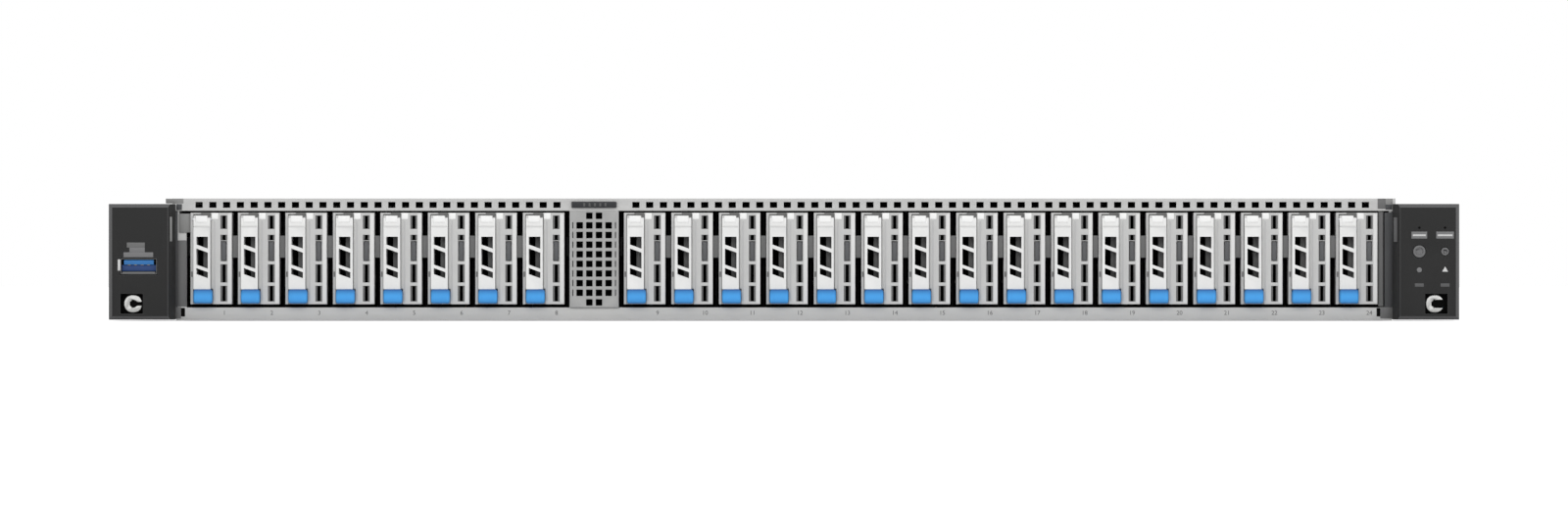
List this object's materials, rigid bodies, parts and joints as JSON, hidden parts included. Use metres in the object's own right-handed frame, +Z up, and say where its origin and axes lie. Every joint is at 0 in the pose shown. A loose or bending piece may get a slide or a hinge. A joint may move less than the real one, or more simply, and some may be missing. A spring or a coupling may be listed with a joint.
{
  "type": "rack server",
  "caption": "Flat one-unit rack server: front drive carriers with levers, perforated strip, rack ears with screws, rear supplies, lift-off cover.",
  "frame": {"origin": "underside of the chassis, on the centre line, in the plane of the rack flanges' front face", "axes": "+X right seen from the front, +Y to the rear, +Z up"},
  "size_m": [0.4826, 0.7712, 0.0436],
  "materials": {
    "galvanised": "zinc-plated steel sheet, satin",
    "cover": "zinc-plated steel sheet, satin",
    "grille": "plated perforated sheet",
    "drive": "drive case with a light grey carrier",
    "lever": "white moulded lever with a blue tab",
    "ear": "charcoal moulded cover",
    "bracket": "plated steel bracket",
    "socket": "folded shield with a blue tongue",
    "board": "green circuit board",
    "fan": "black moulded fan",
    "sink": "finned block",
    "supply": "plated supply case",
    "latch": "blue touch point",
    "screw": "nickel-plated screw",
    "tag": "dark pull-out card",
    "button": "grey button"
  },
  "bodies": {
    "chassis": {"chassis_tray": "galvanised", "bay_dividers": "galvanised", "front_grille": "grille", "front_cover": "cover", "rear_panel": "galvanised", "left_rack_bracket": "bracket", "right_rack_bracket": "bracket", "left_ear_cover": "ear", "right_ear_cover": "ear", "front_usb_socket": "socket", "backplane": "board", "fan_frames": "fan", "mainboard": "board", "cpu_heatsinks": "sink", "memory_modules": "board", "riser_cage": "galvanised", "rear_ports": "socket"},
    "drive_01": {"drive_01": "drive"},
    "drive_02": {"drive_02": "drive"},
    "drive_03": {"drive_03": "drive"},
    "drive_04": {"drive_04": "drive"},
    "drive_05": {"drive_05": "drive"},
    "drive_06": {"drive_06": "drive"},
    "drive_07": {"drive_07": "drive"},
    "drive_08": {"drive_08": "drive"},
    "drive_09": {"drive_09": "drive"},
    "drive_10": {"drive_10": "drive"},
    "drive_11": {"drive_11": "drive"},
    "drive_12": {"drive_12": "drive"},
    "drive_13": {"drive_13": "drive"},
    "drive_14": {"drive_14": "drive"},
    "drive_15": {"drive_15": "drive"},
    "drive_16": {"drive_16": "drive"},
    "drive_17": {"drive_17": "drive"},
    "drive_18": {"drive_18": "drive"},
    "drive_19": {"drive_19": "drive"},
    "drive_20": {"drive_20": "drive"},
    "drive_21": {"drive_21": "drive"},
    "drive_22": {"drive_22": "drive"},
    "drive_23": {"drive_23": "drive"},
    "drive_24": {"drive_24": "drive"},
    "drive_01_lever": {"drive_01_lever": "lever"},
    "drive_24_lever": {"drive_24_lever": "lever"},
    "fan_rotor_1": {"fan_rotor_1": "fan"},
    "fan_rotor_2": {"fan_rotor_2": "fan"},
    "fan_rotor_3": {"fan_rotor_3": "fan"},
    "fan_rotor_4": {"fan_rotor_4": "fan"},
    "fan_rotor_5": {"fan_rotor_5": "fan"},
    "fan_rotor_6": {"fan_rotor_6": "fan"},
    "psu_1": {"psu_1": "supply"},
    "psu_1_latch": {"psu_1_latch": "latch"},
    "psu_2": {"psu_2": "supply"},
    "psu_2_latch": {"psu_2_latch": "latch"},
    "top_cover": {"top_cover": "cover"},
    "cover_latch": {"cover_latch": "latch"},
    "info_tag": {"info_tag": "tag"},
    "power_button": {"power_button": "button"},
    "id_button": {"id_button": "button"},
    "left_rack_screw": {"left_rack_screw": "screw"},
    "right_rack_screw": {"right_rack_screw": "screw"}
  },
  "joints": [
    {"name": "drive_01_slide", "type": "slide", "parent": "chassis", "child": "drive_01", "axis": [0, -1, 0], "range_m": [0, 0.125]},
    {"name": "drive_02_slide", "type": "slide", "parent": "chassis", "child": "drive_02", "axis": [0, -1, 0], "range_m": [0, 0.125]},
    {"name": "drive_03_slide", "type": "slide", "parent": "chassis", "child": "drive_03", "axis": [0, -1, 0], "range_m": [0, 0.125]},
    {"name": "drive_04_slide", "type": "slide", "parent": "chassis", "child": "drive_04", "axis": [0, -1, 0], "range_m": [0, 0.125]},
    {"name": "drive_05_slide", "type": "slide", "parent": "chassis", "child": "drive_05", "axis": [0, -1, 0], "range_m": [0, 0.125]},
    {"name": "drive_06_slide", "type": "slide", "parent": "chassis", "child": "drive_06", "axis": [0, -1, 0], "range_m": [0, 0.125]},
    {"name": "drive_07_slide", "type": "slide", "parent": "chassis", "child": "drive_07", "axis": [0, -1, 0], "range_m": [0, 0.125]},
    {"name": "drive_08_slide", "type": "slide", "parent": "chassis", "child": "drive_08", "axis": [0, -1, 0], "range_m": [0, 0.125]},
    {"name": "drive_09_slide", "type": "slide", "parent": "chassis", "child": "drive_09", "axis": [0, -1, 0], "range_m": [0, 0.125]},
    {"name": "drive_10_slide", "type": "slide", "parent": "chassis", "child": "drive_10", "axis": [0, -1, 0], "range_m": [0, 0.125]},
    {"name": "drive_11_slide", "type": "slide", "parent": "chassis", "child": "drive_11", "axis": [0, -1, 0], "range_m": [0, 0.125]},
    {"name": "drive_12_slide", "type": "slide", "parent": "chassis", "child": "drive_12", "axis": [0, -1, 0], "range_m": [0, 0.125]},
    {"name": "drive_13_slide", "type": "slide", "parent": "chassis", "child": "drive_13", "axis": [0, -1, 0], "range_m": [0, 0.125]},
    {"name": "drive_14_slide", "type": "slide", "parent": "chassis", "child": "drive_14", "axis": [0, -1, 0], "range_m": [0, 0.125]},
    {"name": "drive_15_slide", "type": "slide", "parent": "chassis", "child": "drive_15", "axis": [0, -1, 0], "range_m": [0, 0.125]},
    {"name": "drive_16_slide", "type": "slide", "parent": "chassis", "child": "drive_16", "axis": [0, -1, 0], "range_m": [0, 0.125]},
    {"name": "drive_17_slide", "type": "slide", "parent": "chassis", "child": "drive_17", "axis": [0, -1, 0], "range_m": [0, 0.125]},
    {"name": "drive_18_slide", "type": "slide", "parent": "chassis", "child": "drive_18", "axis": [0, -1, 0], "range_m": [0, 0.125]},
    {"name": "drive_19_slide", "type": "slide", "parent": "chassis", "child": "drive_19", "axis": [0, -1, 0], "range_m": [0, 0.125]},
    {"name": "drive_20_slide", "type": "slide", "parent": "chassis", "child": "drive_20", "axis": [0, -1, 0], "range_m": [0, 0.125]},
    {"name": "drive_21_slide", "type": "slide", "parent": "chassis", "child": "drive_21", "axis": [0, -1, 0], "range_m": [0, 0.125]},
    {"name": "drive_22_slide", "type": "slide", "parent": "chassis", "child": "drive_22", "axis": [0, -1, 0], "range_m": [0, 0.125]},
    {"name": "drive_23_slide", "type": "slide", "parent": "chassis", "child": "drive_23", "axis": [0, -1, 0], "range_m": [0, 0.125]},
    {"name": "drive_24_slide", "type": "slide", "parent": "chassis", "child": "drive_24", "axis": [0, -1, 0], "range_m": [0, 0.125]},
    {"name": "drive_01_lever_hinge", "type": "hinge", "parent": "drive_01", "child": "drive_01_lever", "pos_m": [-0.20835, -0.0243, 0.0361], "axis": [-1, 0, 0], "range_deg": [0, 60]},
    {"name": "drive_24_lever_hinge", "type": "hinge", "parent": "drive_24", "child": "drive_24_lever", "pos_m": [0.20185, -0.0243, 0.0361], "axis": [-1, 0, 0], "range_deg": [0, 60]},
    {"name": "fan_rotor_1_spin", "type": "hinge", "parent": "chassis", "child": "fan_rotor_1", "pos_m": [-0.175, 0.19, 0.0212], "axis": [0, 1, 0], "continuous": true},
    {"name": "fan_rotor_2_spin", "type": "hinge", "parent": "chassis", "child": "fan_rotor_2", "pos_m": [-0.105, 0.19, 0.0212], "axis": [0, 1, 0], "continuous": true},
    {"name": "fan_rotor_3_spin", "type": "hinge", "parent": "chassis", "child": "fan_rotor_3", "pos_m": [-0.035, 0.19, 0.0212], "axis": [0, 1, 0], "continuous": true},
    {"name": "fan_rotor_4_spin", "type": "hinge", "parent": "chassis", "child": "fan_rotor_4", "pos_m": [0.035, 0.19, 0.0212], "axis": [0, 1, 0], "continuous": true},
    {"name": "fan_rotor_5_spin", "type": "hinge", "parent": "chassis", "child": "fan_rotor_5", "pos_m": [0.105, 0.19, 0.0212], "axis": [0, 1, 0], "continuous": true},
    {"name": "fan_rotor_6_spin", "type": "hinge", "parent": "chassis", "child": "fan_rotor_6", "pos_m": [0.175, 0.19, 0.0212], "axis": [0, 1, 0], "continuous": true},
    {"name": "psu_1_slide", "type": "slide", "parent": "chassis", "child": "psu_1", "axis": [0, 1, 0], "range_m": [0, 0.19]},
    {"name": "psu_1_latch_hinge", "type": "hinge", "parent": "psu_1", "child": "psu_1_latch", "pos_m": [0.0965, 0.7196, 0.03], "axis": [0, 0, 1], "range_deg": [0, 12], "stiffness_Nm_per_rad": 0.08, "springref_deg": -8.59},
    {"name": "psu_2_slide", "type": "slide", "parent": "chassis", "child": "psu_2", "axis": [0, 1, 0], "range_m": [0, 0.19]},
    {"name": "psu_2_latch_hinge", "type": "hinge", "parent": "psu_2", "child": "psu_2_latch", "pos_m": [0.1725, 0.7196, 0.03], "axis": [0, 0, 1], "range_deg": [0, 12], "stiffness_Nm_per_rad": 0.08, "springref_deg": -8.59},
    {"name": "top_cover_lift", "type": "slide", "parent": "chassis", "child": "top_cover", "axis": [0, 0, 1], "range_m": [0, 0.08]},
    {"name": "cover_latch_hinge", "type": "hinge", "parent": "top_cover", "child": "cover_latch", "pos_m": [0, 0.2576, 0.0419], "axis": [-1, 0, 0], "range_deg": [0, 95]},
    {"name": "info_tag_slide", "type": "slide", "parent": "chassis", "child": "info_tag", "axis": [0, -1, 0], "range_m": [0, 0.05]},
    {"name": "power_button_press", "type": "slide", "parent": "chassis", "child": "power_button", "axis": [0, 1, 0], "range_m": [0, 0.0012], "stiffness_N_per_m": 600, "springref_m": -0.0006},
    {"name": "id_button_press", "type": "slide", "parent": "chassis", "child": "id_button", "axis": [0, 1, 0], "range_m": [0, 0.0012], "stiffness_N_per_m": 600, "springref_m": -0.0006},
    {"name": "left_rack_screw_turn", "type": "hinge", "parent": "chassis", "child": "left_rack_screw", "pos_m": [-0.23255, 0, 0.0059], "axis": [0, 1, 0], "continuous": true},
    {"name": "right_rack_screw_turn", "type": "hinge", "parent": "chassis", "child": "right_rack_screw", "pos_m": [0.23255, 0, 0.0059], "axis": [0, 1, 0], "continuous": true}
  ]
}
